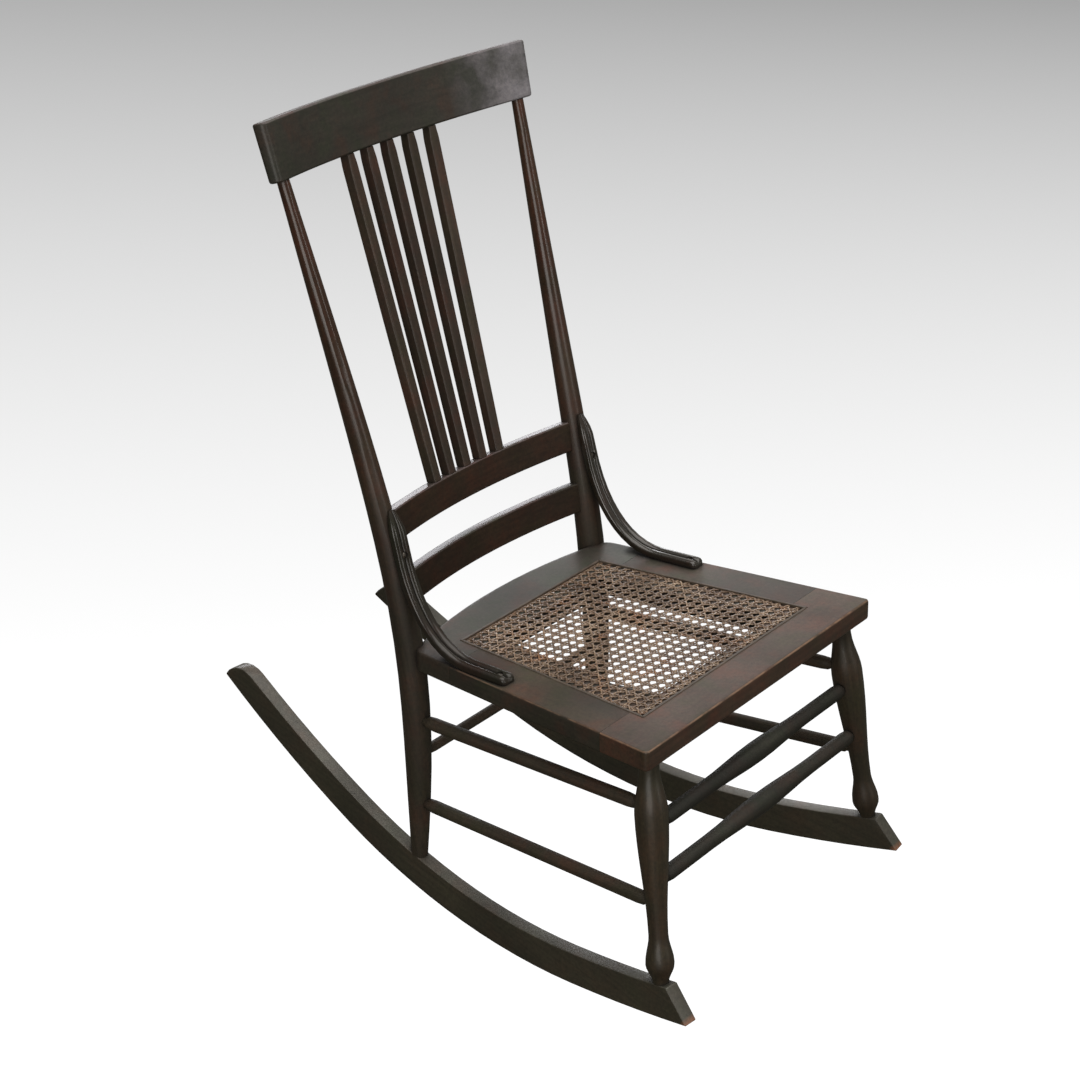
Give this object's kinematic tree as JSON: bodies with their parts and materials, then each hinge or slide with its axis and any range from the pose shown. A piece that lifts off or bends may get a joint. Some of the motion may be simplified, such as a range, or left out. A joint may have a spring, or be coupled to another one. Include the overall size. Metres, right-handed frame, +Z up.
{
  "type": "rocking chair",
  "caption": "Armless rocking chair in dark stained wood: bowed crest, slim back slats, caned seat, bent seat braces, turned legs and stretchers, long curved rockers.",
  "frame": {"origin": "on the floor, at the middle of the chair's bounding box", "axes": "+Z up, -Y is the front of the chair, +X is the sitter's left"},
  "size_m": [0.456, 0.7918, 0.8364],
  "materials": {
    "board_wood": "near-black brown stain with a satin varnish, worn lighter on edges",
    "turned_wood": "near-black brown stain with a satin varnish, reddish where thin",
    "brace_wood": "near-black stain with a glossier varnish",
    "cane": "aged brown rattan cane with a dull sheen",
    "spline_cane": "dark stained reed",
    "screw_steel": "darkened steel"
  },
  "bodies": {
    "root": {"back_slat_1": "turned_wood", "back_slat_2": "turned_wood", "back_slat_3": "turned_wood", "back_slat_4": "turned_wood", "back_slat_5": "turned_wood", "cane_panel": "cane", "cane_spline_back": "spline_cane", "cane_spline_front": "spline_cane", "cane_spline_left": "spline_cane", "cane_spline_right": "spline_cane", "crest_rail": "board_wood", "left_brace": "brace_wood", "left_brace_screw_lower": "screw_steel", "left_brace_screw_upper": "screw_steel", "left_front_leg": "turned_wood", "left_lower_side_stretcher": "turned_wood", "left_rear_post": "turned_wood", "left_rocker": "board_wood", "left_seat_screw": "screw_steel", "left_upper_side_stretcher": "turned_wood", "lower_back_rail": "board_wood", "lower_front_stretcher": "turned_wood", "rear_stretcher": "turned_wood", "right_brace": "brace_wood", "right_brace_screw_lower": "screw_steel", "right_brace_screw_upper": "screw_steel", "right_front_leg": "turned_wood", "right_lower_side_stretcher": "turned_wood", "right_rear_post": "turned_wood", "right_rocker": "board_wood", "right_seat_screw": "screw_steel", "right_upper_side_stretcher": "turned_wood", "seat_back_rail": "board_wood", "seat_front_rail": "board_wood", "seat_left_rail": "board_wood", "seat_right_rail": "board_wood", "upper_back_rail": "board_wood", "upper_front_stretcher": "turned_wood"}
  },
  "joints": []
}
